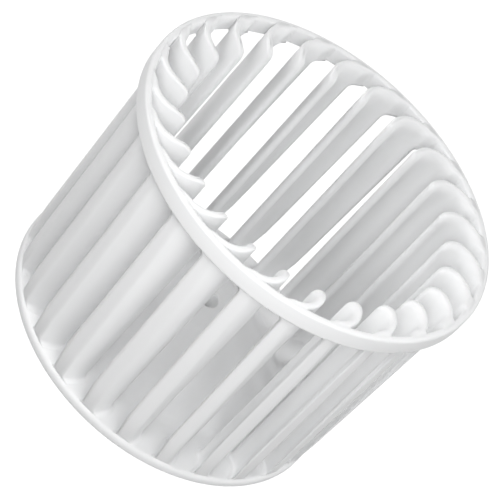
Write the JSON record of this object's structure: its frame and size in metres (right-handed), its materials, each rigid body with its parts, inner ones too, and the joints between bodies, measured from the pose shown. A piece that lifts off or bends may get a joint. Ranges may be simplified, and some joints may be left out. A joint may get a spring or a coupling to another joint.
{
  "type": "dryer blower wheel",
  "caption": "Moulded squirrel-cage fan wheel with curved blades between a back plate and an open ring, for drawing air through a tumble dryer.",
  "frame": {"origin": "on the wheel's axis, in the plane of the rim of the back plate that it stands on", "axes": "+Z along the axis from the back plate to the open end"},
  "size_m": [0.196, 0.196, 0.1385],
  "materials": {
    "white_plastic": "satin moulded"
  },
  "bodies": {
    "root": {"blower_wheel": "white_plastic"}
  },
  "joints": []
}
